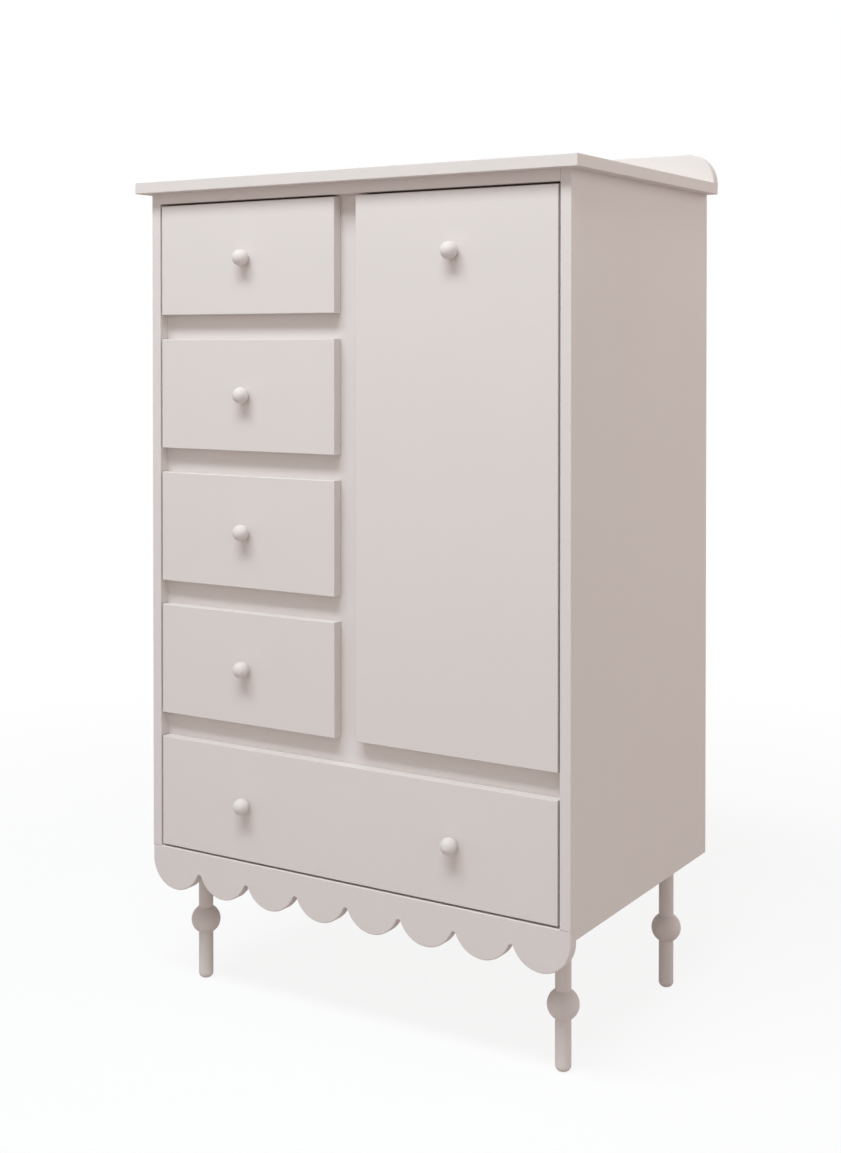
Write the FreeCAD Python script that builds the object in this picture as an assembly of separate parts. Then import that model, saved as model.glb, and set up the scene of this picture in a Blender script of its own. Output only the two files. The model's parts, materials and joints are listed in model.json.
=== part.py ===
import FreeCAD, Part
import math
import os

# Tall dresser. Millimetres, +X to the right, +Y to the back, +Z up, floor at Z = 0.
# While modelling, X = 0 is the middle of the width and Y = 0 the front edges of the side panels.

# Carcass
CARCASS_WIDTH = 800.0
CARCASS_DEPTH = 513.0
SIDE_HEIGHT = 1132.0
BOARD = 18.0
BACK_THICKNESS = 6.0
BACK_REBATE = 9.0
EDGE_ROUND = 1.2
PANEL_CLEARANCE = 0.2

# Top and gallery
TOP_THICKNESS = 19.0
TOP_SIDE_OVERHANG = 20.0
TOP_FRONT_OVERHANG = 20.5
GALLERY_HEIGHT = 50.0
GALLERY_THICKNESS = 18.0
GALLERY_TONGUE = 6.0

# Apron with its scallops
APRON_THICKNESS = 18.0
APRON_SETBACK = 0.5
APRON_EDGE_ROUND = 2.0
SCALLOP_COUNT = 8
SCALLOP_CENTRE_DROP = 3.5
NOTCH_ROUND = 4.5

# Fronts and the recessed frame behind them
FRONT_ROWS = 5
FRONT_THICKNESS = 18.0
FRONT_GAP = 3.5
FRONT_SPACING = 41.0
FRONT_REST_GAP = 1.0
FRAME_LAP = 10.0
RAIL_THICKNESS = 18.0

# Drawer boxes
DRAWER_BOARD = 14.0
DRAWER_FOOT_CLEARANCE = 7.5
DRAWER_HEAD_CLEARANCE = 17.5
DRAWER_SIDE_CLEARANCE = 1.5
DRAWER_BACK_SPACE = 27.0
DRAWER_BOTTOM_THICKNESS = 5.0
DRAWER_BOTTOM_RISE = 10.0
DRAWER_GROOVE_DEPTH = 6.0

# Hardwood strips that the grooved drawer sides run on
RUNNER_HEIGHT = 14.0
RUNNER_BITE = 7.0
RUNNER_RISE = 60.0
RUNNER_TOP_GAP = 0.3
RUNNER_UNDER_GAP = 0.5
RUNNER_SIDE_GAP = 0.5
RUNNER_FRONT_SPACE = 3.0

# Ball knobs
KNOB_DIAMETER = 27.0
KNOB_SEAT_DIAMETER = 9.0
KNOB_SCREW_BITE = 12.0

# Screws of the knobs and drawer fronts
SCREW_DIAMETER = 4.0
SCREW_HEAD_DIAMETER = 8.0
SCREW_CROWN_DIAMETER = 5.6
SCREW_HEAD_HEIGHT = 2.6
SCREW_CLEARANCE = 0.1
FRONT_SCREW_BITE = 12.0
FRONT_SCREW_SIDE_INSET = 45.0
FRONT_SCREW_EDGE_INSET = 35.0

# Turned legs and their fixings
LEG_HEIGHT = 227.0
LEG_DIAMETER = 25.0
BALL_DIAMETER = 50.0
BALL_CENTRE_HEIGHT = 102.0
FOOT_ROUND = 9.0
LEG_SIDE_INSET = 51.5
LEG_FRONT_INSET = 78.0
LEG_REAR_INSET = 48.5
LEG_PLATE_SIZE = 60.0
LEG_PLATE_THICKNESS = 3.0
LEG_PLATE_CORNER = 6.0
LEG_BOLT_DIAMETER = 8.0
LEG_BOLT_IN_LEG = 40.0
LEG_BOLT_IN_PANEL = 14.0
LEG_BOLT_CLEARANCE = 0.1

# Cupboard shelves and their pins
SHELF_NAMES = ("shelf_lower", "shelf_upper")
SHELF_SIDE_CLEARANCE = 1.0
SHELF_FRONT_SETBACK = 25.0
SHELF_BACK_CLEARANCE = 2.0
SHELF_PIN_DIAMETER = 5.0
SHELF_PIN_DEPTH = 9.0
SHELF_PIN_REACH = 9.0
SHELF_PIN_PLATE_WIDTH = 11.0
SHELF_PIN_PLATE_THICKNESS = 3.0
SHELF_PIN_INSET = 60.0
SHELF_PIN_CLEARANCE = 0.05

# Concealed cup hinges of the door
HINGE_INSET = 110.0
CUP_DIAMETER = 35.0
CUP_DEPTH = 12.0
CUP_WALL = 1.0
CUP_EDGE_DISTANCE = 4.0
CUP_CLEARANCE = 0.1
CUP_LUG_WIDTH = 6.0
CUP_LUG_THICKNESS = 5.0
CUP_LUG_DROP = 1.0
CUP_EAR_WIDTH = 16.0
CUP_EAR_THICKNESS = 1.2
CUP_EAR_MARGIN = 6.5
CUP_SCREW_OFFSET = 5.0
CUP_PIN_FROM_EDGE = 9.0
CUP_PIN_DEPTH = 4.5
HINGE_PIN_DIAMETER = 2.5
PIN_RUNNING_CLEARANCE = 0.05
PIN_SEAT_CLEARANCE = 0.02
LINK_WIDTH = 6.0
LINK_THICKNESS = 2.0
LINK_EYE_DIAMETER = 5.0
LINK_SIDE_CLEARANCE = 0.4
LINK_BEND_REACH = 7.2
LINK_BEND_DEPTH = 1.85
ARM_PIN_FROM_EDGE = 30.5
ARM_PIN_BEHIND = 9.5
ARM_ROOT_BEHIND = 25.0
ARM_WIDTH = 12.0
ARM_DEPTH = 8.0
ARM_LENGTH = 36.0
ARM_EYE_DIAMETER = 7.0
ARM_SLOT_DEPTH = 4.5
PLATE_THICKNESS = 3.0
PLATE_LENGTH = 32.0
PLATE_MARGIN = 6.0
PLATE_SCREW_SPACING = 32.0

# Screws of the hinges
HINGE_SCREW_DIAMETER = 3.5
HINGE_SCREW_HEAD_DIAMETER = 7.0
HINGE_SCREW_CROWN_DIAMETER = 5.0
HINGE_SCREW_HEAD_HEIGHT = 1.8
HINGE_SCREW_LENGTH = 13.0

# Heights in the carcass
UNDERSIDE = LEG_HEIGHT
FLOOR_TOP = UNDERSIDE + BOARD
SIDE_TOP = UNDERSIDE + SIDE_HEIGHT
CEILING = SIDE_TOP - BOARD
TOP_SURFACE = SIDE_TOP + TOP_THICKNESS

# Widths and depths in the carcass
OUTER_HALF = CARCASS_WIDTH / 2
INNER_HALF = OUTER_HALF - BOARD
TOP_HALF = OUTER_HALF + TOP_SIDE_OVERHANG
BACK_FACE = CARCASS_DEPTH - BACK_THICKNESS
APRON_BACK = APRON_SETBACK + APRON_THICKNESS
FRAME_FRONT = FRONT_THICKNESS + FRONT_REST_GAP
FRAME_BACK = FRAME_FRONT + RAIL_THICKNESS

# Grid of the fronts: equal rows, two columns above one wide front
FRONT_FIELD = CEILING - FLOOR_TOP - 2 * FRONT_GAP
FRONT_HEIGHT = (FRONT_FIELD - (FRONT_ROWS - 1) * FRONT_SPACING) / FRONT_ROWS
FRONT_PITCH = FRONT_HEIGHT + FRONT_SPACING
FRONT_OUTER = INNER_HALF - FRONT_GAP
FRONT_INNER = FRONT_SPACING / 2
FRONT_MIDDLE = (FRONT_OUTER + FRONT_INNER) / 2
STILE_HALF = FRONT_INNER + FRAME_LAP
CUPBOARD_FLOOR = FLOOR_TOP + FRONT_GAP + FRONT_PITCH + FRAME_LAP

# Drawer boxes behind the fronts
BOX_BACK = BACK_FACE - DRAWER_BACK_SPACE
BOX_INSIDE = FRONT_THICKNESS + DRAWER_BOARD
BOX_RISE = FRAME_LAP + DRAWER_FOOT_CLEARANCE
BOX_HEIGHT = FRONT_HEIGHT - BOX_RISE - FRAME_LAP - DRAWER_HEAD_CLEARANCE
RUNNER_GROOVE_DEPTH = RUNNER_BITE + RUNNER_SIDE_GAP
RUNNER_GROOVE_HEIGHT = RUNNER_HEIGHT + RUNNER_TOP_GAP + RUNNER_UNDER_GAP

# Knob: the ball is cut flat where it sits on the front
KNOB_CENTRE_OUT = math.sqrt(KNOB_DIAMETER ** 2 - KNOB_SEAT_DIAMETER ** 2) / 2
KNOB_REACH = KNOB_CENTRE_OUT + KNOB_DIAMETER / 2

# Shelves share the cupboard's height evenly
SHELF_FRONT = FRAME_BACK + SHELF_FRONT_SETBACK
SHELF_BACK = BACK_FACE - SHELF_BACK_CLEARANCE
SHELF_PITCH = (CEILING - CUPBOARD_FLOOR) / (len(SHELF_NAMES) + 1)
SHELF_UNDERSIDES = [
    CUPBOARD_FLOOR + (index + 1) * SHELF_PITCH - BOARD / 2 for index in range(len(SHELF_NAMES))
]
SHELF_PIN_PLACES = (SHELF_FRONT + SHELF_PIN_INSET, SHELF_BACK - SHELF_PIN_INSET)

# Pivots of the hinges, measured from the door's right edge and rear face
DOOR_BACK = FRONT_THICKNESS
CUP_RADIUS = CUP_DIAMETER / 2
CUP_CENTRE_X = FRONT_OUTER - CUP_EDGE_DISTANCE - CUP_RADIUS
CUP_SCREW_RISE = CUP_RADIUS + CUP_SCREW_OFFSET
CUP_PIN = (FRONT_OUTER - CUP_PIN_FROM_EDGE, DOOR_BACK - CUP_PIN_DEPTH)
LINK_BEND = (CUP_PIN[0] - LINK_BEND_REACH, CUP_PIN[1] - LINK_BEND_DEPTH)
LINK_SLOT_HALF = LINK_WIDTH / 2 + LINK_SIDE_CLEARANCE
ARM_PIN = (FRONT_OUTER - ARM_PIN_FROM_EDGE, DOOR_BACK + ARM_PIN_BEHIND)
ARM_FACE = INNER_HALF - PLATE_THICKNESS
ARM_ROOT = (ARM_FACE - ARM_DEPTH / 2, DOOR_BACK + ARM_ROOT_BEHIND)
PLATE_MIDDLE = ARM_ROOT[1] + ARM_LENGTH / 2

# The finished part stands with the middle of its box over the origin
FRONT_REACH = max(KNOB_REACH, TOP_FRONT_OVERHANG)
Y_MIDDLE = (CARCASS_DEPTH - FRONT_REACH) / 2

X_AXIS = FreeCAD.Vector(1, 0, 0)
Y_AXIS = FreeCAD.Vector(0, 1, 0)
Z_AXIS = FreeCAD.Vector(0, 0, 1)
FULL_TURN = 360.0
PLANE_TOLERANCE = 0.001


def point(x, y, z):
    return FreeCAD.Vector(x, y, z)


def around(middle, size):
    """The span of a size about its middle."""
    return (middle - size / 2, middle + size / 2)


def board(x_span, y_span, z_span):
    """A plain board between two X, two Y and two Z values."""
    size_x = x_span[1] - x_span[0]
    size_y = y_span[1] - y_span[0]
    size_z = z_span[1] - z_span[0]
    return Part.makeBox(size_x, size_y, size_z, point(x_span[0], y_span[0], z_span[0]))


def rod(radius, start, axis, length):
    return Part.makeCylinder(radius, length, start, axis)


def upright_rod(radius, middle, z_span):
    """A round rod along Z through an (x, y) point."""
    return rod(radius, point(middle[0], middle[1], z_span[0]), Z_AXIS, z_span[1] - z_span[0])


def strap(start, end, thickness, z_span):
    """A flat bar of even thickness on edge, from one (x, y) point to another."""
    run = point(end[0] - start[0], end[1] - start[1], 0)
    side = Z_AXIS.cross(run).normalize() * (thickness / 2)
    first = point(start[0], start[1], z_span[0])
    second = point(end[0], end[1], z_span[0])
    corners = [first + side, second + side, second - side, first - side]
    face = Part.Face(Part.makePolygon(corners + corners[:1]))
    return face.extrude(Z_AXIS * (z_span[1] - z_span[0]))


def joined(pieces):
    """One solid from pieces that overlap."""
    return pieces[0].multiFuse(pieces[1:]).removeSplitter()


def edges_on(shape, **planes):
    """Edges that lie whole in every named plane, such as Y=0."""
    def lies_there(edge):
        offsets = [getattr(vertex, name) - value for vertex in edge.Vertexes for name, value in planes.items()]
        return all(abs(offset) < PLANE_TOLERANCE for offset in offsets)
    return [edge for edge in shape.Edges if lies_there(edge)]


def eased(shape, edges):
    """The shape with the given edges lightly rounded, as boards are before painting."""
    return shape.makeFillet(EDGE_ROUND, edges)


def front_span(row):
    """Lower and upper edge of a row of fronts, counted from the top."""
    lower = FLOOR_TOP + FRONT_GAP + (FRONT_ROWS - row) * FRONT_PITCH
    return (lower, lower + FRONT_HEIGHT)


def door_span():
    """Lower and upper edge of the door, which is as tall as the small drawers together."""
    return (front_span(FRONT_ROWS - 1)[0], front_span(1)[1])


def hinge_levels():
    lower, upper = door_span()
    return (lower + HINGE_INSET, upper - HINGE_INSET)


def headed_screw(sizes, length, seat, axis):
    """A screw whose head sits on the seat point and whose shank runs along the axis.

    sizes holds the diameters of the shank, head and crown, and the height of the head.
    """
    shank, head, crown, head_height = sizes
    head_cone = Part.makeCone(crown / 2, head / 2, head_height, seat - axis * head_height, axis)
    return joined([head_cone, rod(shank / 2, seat, axis, length)])


def front_screw(length, seat):
    sizes = (SCREW_DIAMETER, SCREW_HEAD_DIAMETER, SCREW_CROWN_DIAMETER, SCREW_HEAD_HEIGHT)
    return headed_screw(sizes, length, seat, -Y_AXIS)


def hinge_screw(seat, axis):
    sizes = (
        HINGE_SCREW_DIAMETER,
        HINGE_SCREW_HEAD_DIAMETER,
        HINGE_SCREW_CROWN_DIAMETER,
        HINGE_SCREW_HEAD_HEIGHT,
    )
    return headed_screw(sizes, HINGE_SCREW_LENGTH, seat, axis)


def screw_hole(diameter, start, axis, length):
    """The cutter for a screw hole, a little wider and deeper than the screw."""
    return rod(diameter / 2 + SCREW_CLEARANCE, start, axis, length + SCREW_CLEARANCE)


# Carcass

def side_panel(side):
    """Side panel, notched in front for the apron and rebated for the back; side is -1 or 1."""
    inner = side * INNER_HALF
    outer = side * OUTER_HALF
    rebate_edge = side * (INNER_HALF + BACK_REBATE)
    x_span = sorted((inner, outer))
    panel = board(x_span, (0, CARCASS_DEPTH), (UNDERSIDE, SIDE_TOP))
    notch = board(x_span, (0, APRON_BACK), (UNDERSIDE, FLOOR_TOP))
    rebate = board(sorted((inner, rebate_edge)), (BACK_FACE, CARCASS_DEPTH), (UNDERSIDE, SIDE_TOP))
    panel = panel.cut([notch, rebate])
    return eased(panel, edges_on(panel, Y=0, X=inner) + edges_on(panel, Y=0, X=outer))


def right_side():
    """Right side panel with the holes for the shelf pins and hinge plates."""
    holes = shelf_pin_holes(INNER_HALF, -1)
    for seat in plate_screw_seats():
        wall_point = point(INNER_HALF, seat.y, seat.z)
        depth = HINGE_SCREW_LENGTH - PLATE_THICKNESS
        holes.append(screw_hole(HINGE_SCREW_DIAMETER, wall_point, X_AXIS, depth))
    return side_panel(1).cut(holes)


def bottom_panel():
    """Bottom panel with blind holes for the leg bolts."""
    panel = board((-INNER_HALF, INNER_HALF), (APRON_BACK, BACK_FACE), (UNDERSIDE, FLOOR_TOP))
    radius = LEG_BOLT_DIAMETER / 2 + LEG_BOLT_CLEARANCE
    top = UNDERSIDE + LEG_BOLT_IN_PANEL + LEG_BOLT_CLEARANCE
    return panel.cut([upright_rod(radius, place, (UNDERSIDE, top)) for place in leg_places().values()])


def inner_top():
    """Panel under the top; its front edge shows as a rail above the fronts."""
    panel = board((-INNER_HALF, INNER_HALF), (0, BACK_FACE), (CEILING, SIDE_TOP))
    return eased(panel, edges_on(panel, Y=0, Z=CEILING))


def back_panel():
    half = INNER_HALF + BACK_REBATE - PANEL_CLEARANCE
    return board((-half, half), (BACK_FACE, CARCASS_DEPTH), (UNDERSIDE, SIDE_TOP))


def top_panel():
    """Overhanging top, rebated along its rear edge for the gallery."""
    panel = board((-TOP_HALF, TOP_HALF), (-TOP_FRONT_OVERHANG, CARCASS_DEPTH), (SIDE_TOP, TOP_SURFACE))
    return eased(panel, panel.Edges).cut(gallery_tongue())


def gallery_tongue():
    """Lower edge of the gallery, let into the top."""
    y_span = (CARCASS_DEPTH - GALLERY_THICKNESS, CARCASS_DEPTH)
    return board((-TOP_HALF, TOP_HALF), y_span, (TOP_SURFACE - GALLERY_TONGUE, TOP_SURFACE))


def gallery():
    """Upstand on the rear edge of the top, with quarter-round ends."""
    radius = GALLERY_HEIGHT
    front = CARCASS_DEPTH - GALLERY_THICKNESS
    crown = TOP_SURFACE + GALLERY_HEIGHT
    diagonal = radius * math.sin(math.pi / 4)

    def end_arc(side):
        centre_x = side * (TOP_HALF - radius)
        foot = point(side * TOP_HALF, front, TOP_SURFACE)
        middle = point(centre_x + side * diagonal, front, TOP_SURFACE + diagonal)
        shoulder = point(centre_x, front, crown)
        return Part.Arc(foot, middle, shoulder).toShape()

    left = end_arc(-1)
    right = end_arc(1)
    crown_line = Part.makeLine(left.Vertexes[1].Point, right.Vertexes[1].Point)
    seat_line = Part.makeLine(left.Vertexes[0].Point, right.Vertexes[0].Point)
    outline = Part.Wire(Part.__sortEdges__([left, crown_line, right, seat_line]))
    upstand = Part.Face(outline).extrude(Y_AXIS * GALLERY_THICKNESS)
    seat_edges = edges_on(upstand, Z=TOP_SURFACE)
    face_edges = edges_on(upstand, Y=front) + edges_on(upstand, Y=CARCASS_DEPTH)
    crest = [edge for edge in face_edges if not any(edge.isSame(other) for other in seat_edges)]
    return joined([eased(upstand, crest), gallery_tongue()])


def divider(side):
    """One wall of the hollow centre divider; side is -1 or 1."""
    x_span = sorted((side * (STILE_HALF - BOARD), side * STILE_HALF))
    return board(x_span, (FRAME_BACK, BACK_FACE), (CUPBOARD_FLOOR, CEILING))


def front_stile():
    return board((-STILE_HALF, STILE_HALF), (FRAME_FRONT, FRAME_BACK), (CUPBOARD_FLOOR, CEILING))


def mid_panel():
    """Floor of the cupboard and of the small drawers' space."""
    return board((-INNER_HALF, INNER_HALF), (FRAME_BACK, BACK_FACE), (CUPBOARD_FLOOR - BOARD, CUPBOARD_FLOOR))


def rail(x_span, row):
    """Recessed rail behind the gap below a row of fronts."""
    upper = front_span(row)[0] + FRAME_LAP
    lower = front_span(row + 1)[1] - FRAME_LAP
    return board(x_span, (FRAME_FRONT, FRAME_BACK), (lower, upper))


def apron():
    """Board across the front with a row of half-round scallops and eased notches between them."""
    pitch = CARCASS_WIDTH / SCALLOP_COUNT
    radius = pitch / 2
    front = APRON_SETBACK
    centre_z = UNDERSIDE - SCALLOP_CENTRE_DROP
    notch_z = centre_z - math.sqrt((radius + NOTCH_ROUND) ** 2 - radius ** 2)
    share = radius / (radius + NOTCH_ROUND)
    touch_x = radius * share
    touch_z = centre_z - (centre_z - notch_z) * share

    edges = []
    start = point(-OUTER_HALF, front, centre_z)
    for index in range(SCALLOP_COUNT):
        centre_x = -OUTER_HALF + (index + 0.5) * pitch
        lowest = point(centre_x, front, centre_z - radius)
        if index == SCALLOP_COUNT - 1:
            edges.append(Part.Arc(start, lowest, point(OUTER_HALF, front, centre_z)).toShape())
            continue
        notch_x = centre_x + radius
        before = point(centre_x + touch_x, front, touch_z)
        after = point(notch_x + radius - touch_x, front, touch_z)
        edges.append(Part.Arc(start, lowest, before).toShape())
        edges.append(Part.Arc(before, point(notch_x, front, notch_z + NOTCH_ROUND), after).toShape())
        start = after
    corners = [
        point(OUTER_HALF, front, centre_z),
        point(OUTER_HALF, front, FLOOR_TOP),
        point(-OUTER_HALF, front, FLOOR_TOP),
        point(-OUTER_HALF, front, centre_z),
    ]
    edges.extend(Part.makePolygon(corners).Edges)
    plate = Part.Face(Part.Wire(edges)).extrude(Y_AXIS * APRON_THICKNESS)
    return plate.makeFillet(APRON_EDGE_ROUND, edges_on(plate, Y=front))


# Legs

def leg_places():
    """Name and (x, y) axis of each leg."""
    x = OUTER_HALF - LEG_SIDE_INSET
    rear = CARCASS_DEPTH - LEG_REAR_INSET
    return {
        "leg_front_left": (-x, LEG_FRONT_INSET),
        "leg_front_right": (x, LEG_FRONT_INSET),
        "leg_rear_left": (-x, rear),
        "leg_rear_right": (x, rear),
    }


def leg(place):
    """Turned leg: a round post with a ball on it, an eased foot and a bolt hole in its top."""
    post = LEG_DIAMETER / 2
    ball = BALL_DIAMETER / 2
    top = UNDERSIDE - LEG_PLATE_THICKNESS
    hole = LEG_BOLT_DIAMETER / 2 + LEG_BOLT_CLEARANCE
    hole_floor = top - LEG_BOLT_IN_LEG - LEG_BOLT_CLEARANCE
    ball_half_chord = math.sqrt(ball ** 2 - post ** 2)
    foot_slant = FOOT_ROUND * math.sin(math.pi / 4)

    def at(radius, z):
        return point(radius, 0, z)

    foot_arc = Part.Arc(
        at(post - FOOT_ROUND, 0),
        at(post - FOOT_ROUND + foot_slant, FOOT_ROUND - foot_slant),
        at(post, FOOT_ROUND),
    )
    ball_low = at(post, BALL_CENTRE_HEIGHT - ball_half_chord)
    ball_high = at(post, BALL_CENTRE_HEIGHT + ball_half_chord)
    ball_arc = Part.Arc(ball_low, at(ball, BALL_CENTRE_HEIGHT), ball_high)
    upper = [ball_high, at(post, top), at(hole, top), at(hole, hole_floor), at(0, hole_floor)]
    edges = [Part.makeLine(at(0, 0), at(post - FOOT_ROUND, 0)), foot_arc.toShape()]
    edges.append(Part.makeLine(at(post, FOOT_ROUND), ball_low))
    edges.append(ball_arc.toShape())
    edges.extend(Part.makePolygon(upper + [at(0, 0)]).Edges)
    turned = Part.Face(Part.Wire(edges)).revolve(point(0, 0, 0), Z_AXIS, FULL_TURN)
    turned.translate(point(place[0], place[1], 0))
    return turned


def leg_plate(place):
    z_span = (UNDERSIDE - LEG_PLATE_THICKNESS, UNDERSIDE)
    plate = board(around(place[0], LEG_PLATE_SIZE), around(place[1], LEG_PLATE_SIZE), z_span)
    upright = [edge for edge in plate.Edges if abs(edge.tangentAt(edge.FirstParameter).z) > 0.5]
    plate = plate.makeFillet(LEG_PLATE_CORNER, upright)
    return plate.cut(upright_rod(LEG_BOLT_DIAMETER / 2 + LEG_BOLT_CLEARANCE, place, z_span))


def leg_bolt(place):
    leg_top = UNDERSIDE - LEG_PLATE_THICKNESS
    return upright_rod(LEG_BOLT_DIAMETER / 2, place, (leg_top - LEG_BOLT_IN_LEG, UNDERSIDE + LEG_BOLT_IN_PANEL))


# Knobs

def knob(x, z):
    """Ball knob on the front plane, with a blind hole for its screw."""
    ball = KNOB_DIAMETER / 2
    seat = KNOB_SEAT_DIAMETER / 2
    hole = SCREW_DIAMETER / 2 + SCREW_CLEARANCE
    hole_end = KNOB_SCREW_BITE + SCREW_CLEARANCE

    def at(radius, out):
        return point(x + radius, -out, z)

    widest = at(ball, KNOB_CENTRE_OUT)
    ball_arc = Part.Arc(at(seat, 0), widest, at(0, KNOB_REACH)).toShape()
    inside = [at(0, KNOB_REACH), at(0, hole_end), at(hole, hole_end), at(hole, 0), at(seat, 0)]
    outline = Part.Wire([ball_arc] + Part.makePolygon(inside).Edges)
    return Part.Face(outline).revolve(point(x, 0, z), Y_AXIS, FULL_TURN)


# Drawers

def is_wide(row):
    return row == FRONT_ROWS


def knob_columns(row):
    return (-FRONT_MIDDLE, FRONT_MIDDLE) if is_wide(row) else (-FRONT_MIDDLE,)


def drawer_bay(row):
    """The carcass faces that a drawer runs between."""
    return (-INNER_HALF, INNER_HALF if is_wide(row) else -STILE_HALF)


def box_x(row):
    left, right = drawer_bay(row)
    return (left + DRAWER_SIDE_CLEARANCE, right - DRAWER_SIDE_CLEARANCE)


def box_z(row):
    lower = front_span(row)[0] + BOX_RISE
    return (lower, lower + BOX_HEIGHT)


def knob_points(row):
    """Where the knobs of a row sit on the front plane."""
    middle = sum(front_span(row)) / 2
    return [point(x, 0, middle) for x in knob_columns(row)]


def fixing_points(row):
    """Where the screws that hold the front to the box enter it, on its rear face."""
    left, right = box_x(row)
    lower, upper = box_z(row)
    columns = (left + FRONT_SCREW_SIDE_INSET, right - FRONT_SCREW_SIDE_INSET)
    levels = (lower + FRONT_SCREW_EDGE_INSET, upper - FRONT_SCREW_EDGE_INSET)
    return [point(x, FRONT_THICKNESS, z) for x in columns for z in levels]


def drawer_front(row):
    right = FRONT_OUTER if is_wide(row) else -FRONT_INNER
    panel = board((-FRONT_OUTER, right), (0, FRONT_THICKNESS), front_span(row))
    panel = eased(panel, edges_on(panel, Y=0))
    holes = [screw_hole(SCREW_DIAMETER, place, Y_AXIS, FRONT_THICKNESS) for place in knob_points(row)]
    holes += [screw_hole(SCREW_DIAMETER, place, -Y_AXIS, FRONT_SCREW_BITE) for place in fixing_points(row)]
    return panel.cut(holes)


def drawer_box(row):
    """Two grooved sides, an inner front and a back."""
    left, right = box_x(row)
    lower, upper = box_z(row)
    inner_x = (left + DRAWER_BOARD, right - DRAWER_BOARD)
    depth = (FRONT_THICKNESS, BOX_BACK)
    slot = bottom_slot(row)
    groove_z = (lower + RUNNER_RISE, lower + RUNNER_RISE + RUNNER_GROOVE_HEIGHT)
    left_groove = board((left, left + RUNNER_GROOVE_DEPTH), depth, groove_z)
    right_groove = board((right - RUNNER_GROOVE_DEPTH, right), depth, groove_z)
    left_side = board((left, inner_x[0]), depth, (lower, upper)).cut([slot, left_groove])
    right_wall = board((inner_x[1], right), depth, (lower, upper)).cut([slot, right_groove])
    back = board(inner_x, (BOX_BACK - DRAWER_BOARD, BOX_BACK), (lower, upper)).cut(slot)
    entries = [place + Y_AXIS * FRONT_THICKNESS for place in knob_points(row)] + fixing_points(row)
    holes = [screw_hole(SCREW_DIAMETER, place, Y_AXIS, DRAWER_BOARD) for place in entries]
    inner_front = board(inner_x, (FRONT_THICKNESS, BOX_INSIDE), (lower, upper)).cut([slot] + holes)
    return [left_side, right_wall, inner_front, back]


def bottom_slot(row):
    """The groove that runs round the inside of a drawer box for its bottom."""
    left, right = box_x(row)
    lower = box_z(row)[0] + DRAWER_BOTTOM_RISE
    reach = DRAWER_BOARD - DRAWER_GROOVE_DEPTH
    x_span = (left + reach, right - reach)
    y_span = (FRONT_THICKNESS + reach, BOX_BACK - reach)
    return board(x_span, y_span, (lower, lower + DRAWER_BOTTOM_THICKNESS + PANEL_CLEARANCE))


def drawer_bottom(row):
    """Thin panel that lies in the slot with a little room at its edges."""
    room = bottom_slot(row).BoundBox
    x_span = (room.XMin + PANEL_CLEARANCE, room.XMax - PANEL_CLEARANCE)
    y_span = (room.YMin + PANEL_CLEARANCE, room.YMax - PANEL_CLEARANCE)
    return board(x_span, y_span, (room.ZMin, room.ZMin + DRAWER_BOTTOM_THICKNESS))


def drawer_screws(row):
    """Knob screws and the screws that hold the front, with their heads inside the box."""
    knob_length = DRAWER_BOARD + FRONT_THICKNESS + KNOB_SCREW_BITE
    fixing_length = DRAWER_BOARD + FRONT_SCREW_BITE
    screws = [front_screw(knob_length, place + Y_AXIS * BOX_INSIDE) for place in knob_points(row)]
    screws += [front_screw(fixing_length, place + Y_AXIS * DRAWER_BOARD) for place in fixing_points(row)]
    return screws


def runner_strips(row):
    """The strips on the two faces of a drawer's bay."""
    left, right = drawer_bay(row)
    reach = DRAWER_SIDE_CLEARANCE + RUNNER_BITE
    lower = box_z(row)[0] + RUNNER_RISE + RUNNER_UNDER_GAP
    y_span = (FRAME_BACK + RUNNER_FRONT_SPACE, BOX_BACK)
    z_span = (lower, lower + RUNNER_HEIGHT)
    return [board((left, left + reach), y_span, z_span), board((right - reach, right), y_span, z_span)]


# Cupboard

def shelf(underside):
    x_span = (STILE_HALF + SHELF_SIDE_CLEARANCE, INNER_HALF - SHELF_SIDE_CLEARANCE)
    panel = board(x_span, (SHELF_FRONT, SHELF_BACK), (underside, underside + BOARD))
    return eased(panel, edges_on(panel, Y=SHELF_FRONT))


def shelf_pin(wall, outward, y, underside):
    """L-shaped pin: a round shank in the wall and a small plate under the shelf."""
    plate_x = sorted((wall, wall + outward * SHELF_PIN_REACH))
    plate_z = (underside - SHELF_PIN_PLATE_THICKNESS, underside)
    plate = board(plate_x, around(y, SHELF_PIN_PLATE_WIDTH), plate_z)
    radius = SHELF_PIN_DIAMETER / 2
    shank = rod(radius, point(wall, y, underside - radius), X_AXIS * -outward, SHELF_PIN_DEPTH)
    return joined([plate, shank])


def shelf_pins():
    pins = []
    for underside in SHELF_UNDERSIDES:
        for y in SHELF_PIN_PLACES:
            pins.append(shelf_pin(STILE_HALF, 1, y, underside))
            pins.append(shelf_pin(INNER_HALF, -1, y, underside))
    return pins


def shelf_pin_holes(wall, outward):
    """Cutters for the pin holes in one wall of the cupboard."""
    radius = SHELF_PIN_DIAMETER / 2
    starts = [point(wall, y, level - radius) for level in SHELF_UNDERSIDES for y in SHELF_PIN_PLACES]
    depth = SHELF_PIN_DEPTH + SHELF_PIN_CLEARANCE
    return [rod(radius + SHELF_PIN_CLEARANCE, start, X_AXIS * -outward, depth) for start in starts]


# Door and hinges

def door_knob_point():
    """The door's knob stands level with the knob of the top drawer."""
    return point(FRONT_MIDDLE, 0, sum(front_span(1)) / 2)


def cup_screw_seats():
    seat_y = DOOR_BACK + CUP_EAR_THICKNESS
    rises = (-CUP_SCREW_RISE, CUP_SCREW_RISE)
    return [point(CUP_CENTRE_X, seat_y, level + rise) for level in hinge_levels() for rise in rises]


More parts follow.
